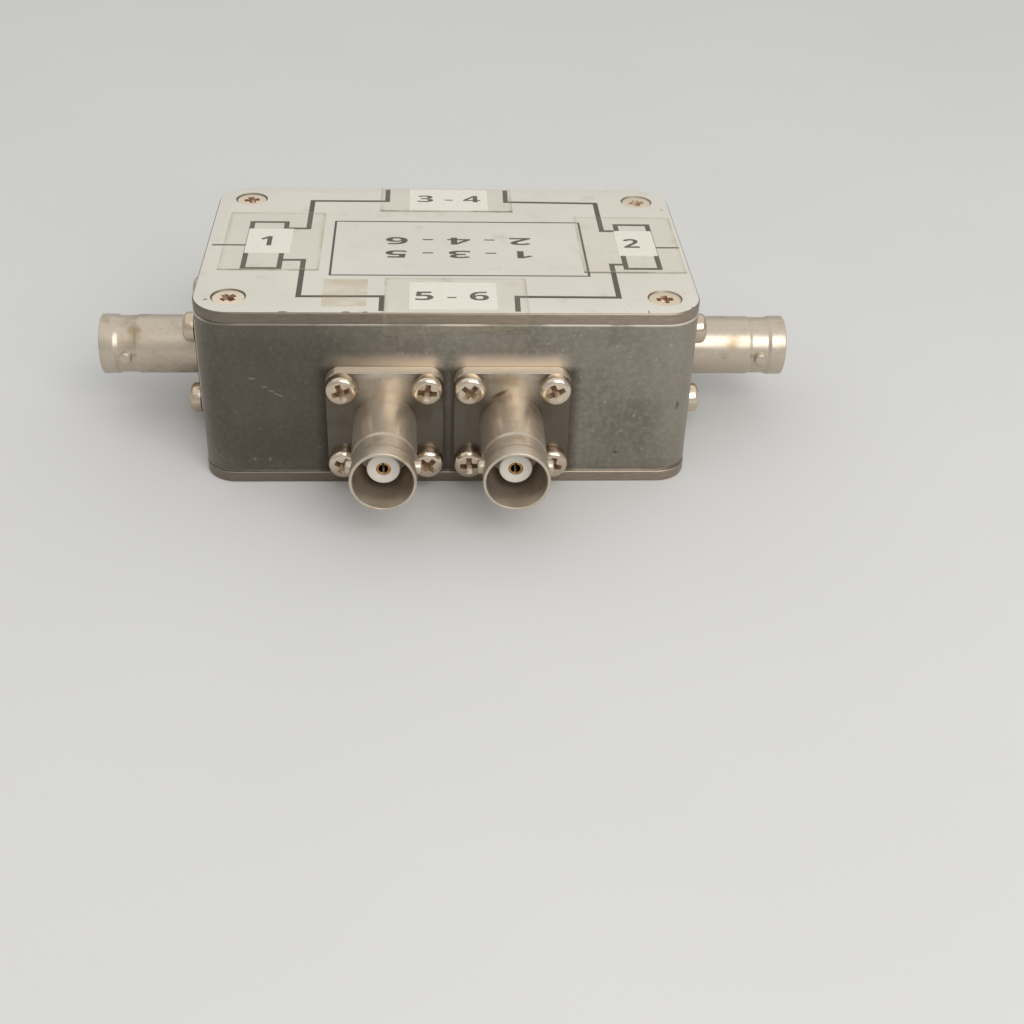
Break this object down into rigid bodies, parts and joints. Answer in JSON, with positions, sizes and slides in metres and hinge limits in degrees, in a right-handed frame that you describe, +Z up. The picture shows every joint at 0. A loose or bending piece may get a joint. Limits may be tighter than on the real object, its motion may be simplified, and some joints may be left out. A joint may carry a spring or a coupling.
{
  "type": "antenna splitter",
  "caption": "Small cast metal box with a painted lid and round bayonet sockets on all four sides, which feeds two antenna lines to two receivers.",
  "frame": {"origin": "middle of the underside, on the surface that the box stands on", "axes": "+Z up, +X to the right end socket, -Y out of the front sockets"},
  "size_m": [0.1112, 0.0832, 0.029],
  "materials": {
    "cast_aluminium": "matte cast, lightly mottled",
    "lid_paint": "satin light grey paint with dark printed lines",
    "cover_aluminium": "satin, bare",
    "nickel": "satin nickel plate",
    "screw_steel": "bright nickel plate",
    "ptfe": "smooth white",
    "gold": "gold plate",
    "board": "green solder resist",
    "ferrite": "fired dark grey ceramic",
    "copper": "enamelled wire",
    "resistor": "lacquered",
    "ceramic": "fired tan ceramic",
    "solder": "bright tin"
  },
  "bodies": {
    "root": {"case_frame": "cast_aluminium", "top_cover": "lid_paint", "bottom_cover": "cover_aluminium", "top_cover_screws": "screw_steel", "bottom_cover_screws": "screw_steel", "socket_body_a": "nickel", "insulator_a": "ptfe", "contact_a": "gold", "flange_screws_a": "screw_steel", "socket_body_b": "nickel", "insulator_b": "ptfe", "contact_b": "gold", "flange_screws_b": "screw_steel", "socket_body_a1": "nickel", "insulator_a1": "ptfe", "contact_a1": "gold", "flange_screws_a1": "screw_steel", "socket_body_b1": "nickel", "insulator_b1": "ptfe", "contact_b1": "gold", "flange_screws_b1": "screw_steel", "socket_body_a2": "nickel", "insulator_a2": "ptfe", "contact_a2": "gold", "flange_screws_a2": "screw_steel", "socket_body_b2": "nickel", "insulator_b2": "ptfe", "contact_b2": "gold", "flange_screws_b2": "screw_steel", "circuit_board": "board", "board_screws": "screw_steel", "solder_joints": "solder", "coupling_capacitors": "ceramic", "transformer_core_a": "ferrite", "transformer_winding_a": "copper", "choke_core_a": "ferrite", "choke_winding_a": "copper", "balance_resistor_a": "resistor", "transformer_core_b": "ferrite", "transformer_winding_b": "copper", "choke_core_b": "ferrite", "choke_winding_b": "copper", "balance_resistor_b": "resistor"}
  },
  "joints": []
}
